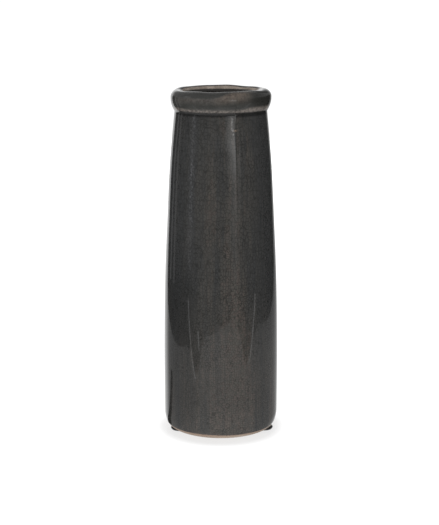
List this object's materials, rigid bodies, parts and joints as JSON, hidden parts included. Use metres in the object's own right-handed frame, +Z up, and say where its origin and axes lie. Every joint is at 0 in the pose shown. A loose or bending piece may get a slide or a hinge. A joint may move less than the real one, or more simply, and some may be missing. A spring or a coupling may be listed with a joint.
{
  "type": "stoneware vase",
  "caption": "Tall, slightly tapering stoneware vase with a rolled lip, dark crackle glaze, bare clay foot and stick-on pads.",
  "frame": {"origin": "on the vase's axis, in the plane of the pads' lower faces", "axes": "+Z up along the axis; the pictured side faces -Y, +X to its right"},
  "size_m": [0.1262, 0.1262, 0.38],
  "materials": {
    "bare_clay": "matt, fine sandy grain, unglazed",
    "outer_glaze": "glossy dark warm-grey crackle glaze",
    "liner_glaze": "glossy brown-taupe crackle glaze",
    "pad_rubber": "matt black",
    "pad_adhesive": "translucent adhesive film"
  },
  "bodies": {
    "root": {"stoneware_body": "bare_clay", "outer_glaze": "outer_glaze", "liner_glaze": "liner_glaze", "foot_pad_right": "pad_rubber", "foot_pad_left": "pad_rubber", "foot_pad_back": "pad_rubber", "pad_adhesive_right": "pad_adhesive", "pad_adhesive_left": "pad_adhesive", "pad_adhesive_back": "pad_adhesive"}
  },
  "joints": []
}
